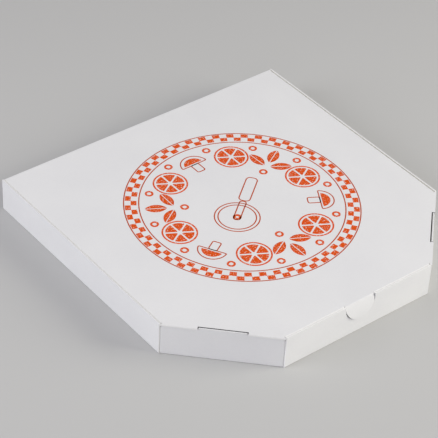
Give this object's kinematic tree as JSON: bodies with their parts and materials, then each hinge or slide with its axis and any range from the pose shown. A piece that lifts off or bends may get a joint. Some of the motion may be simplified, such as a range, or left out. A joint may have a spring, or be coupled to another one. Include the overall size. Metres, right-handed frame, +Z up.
{
  "type": "pizza box",
  "caption": "Shallow square white card pizza box with cut front corners, a lid hinged at the back, corner lock tongues and a half-moon pull tab.",
  "frame": {"origin": "centre of the box's footprint, on the surface it stands on", "axes": "+Z up, -Y towards the front wall with the pull tab, +X to the right seen from the front; the lid hinges along X at the back"},
  "size_m": [0.3304, 0.3318, 0.0354],
  "materials": {
    "white_card": "matt white-lined fluted card"
  },
  "bodies": {
    "tray": {"tray": "white_card"},
    "lid": {"lid": "white_card"},
    "pull_tab": {"pull_tab": "white_card"}
  },
  "joints": [
    {"name": "lid_hinge", "type": "hinge", "parent": "tray", "child": "lid", "pos_m": [0, 0.16525, 0.03435], "axis": [-1, 0, 0], "range_deg": [0, 180]},
    {"name": "pull_tab_hinge", "type": "hinge", "parent": "lid", "child": "pull_tab", "pos_m": [0, -0.16165, 0.03435], "axis": [-1, 0, 0], "range_deg": [-5, 85]}
  ]
}
